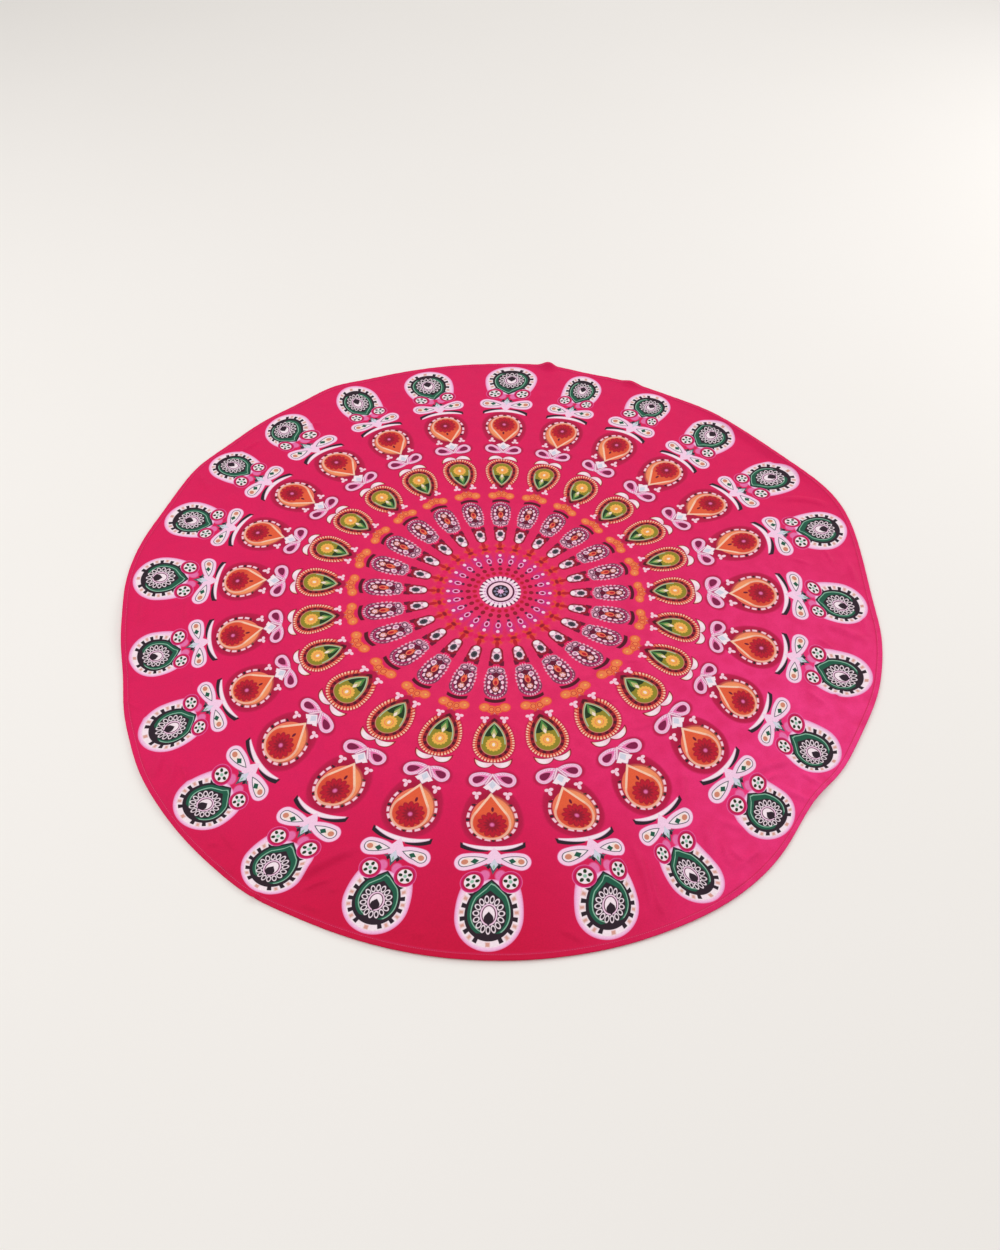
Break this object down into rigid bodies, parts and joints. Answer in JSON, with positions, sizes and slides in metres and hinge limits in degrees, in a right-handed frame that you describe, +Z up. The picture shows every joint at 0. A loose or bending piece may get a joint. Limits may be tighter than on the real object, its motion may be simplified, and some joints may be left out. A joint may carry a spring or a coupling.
{
  "type": "round beach towel",
  "caption": "Round printed beach towel, lying flat with soft creases and a narrow turned hem.",
  "frame": {"origin": "middle of the box round the towel's outline, on the surface that it lies on", "axes": "+Z up, out of the printed face; +Y towards the far edge of the towel as pictured, +X to the right"},
  "size_m": [1.501, 1.5008, 0.0137],
  "materials": {
    "printed_cloth": "thin woven polyester with a faint sheen, printed in bright pink with rings of traditional motifs"
  },
  "bodies": {
    "root": {"cloth": "printed_cloth"}
  },
  "joints": []
}
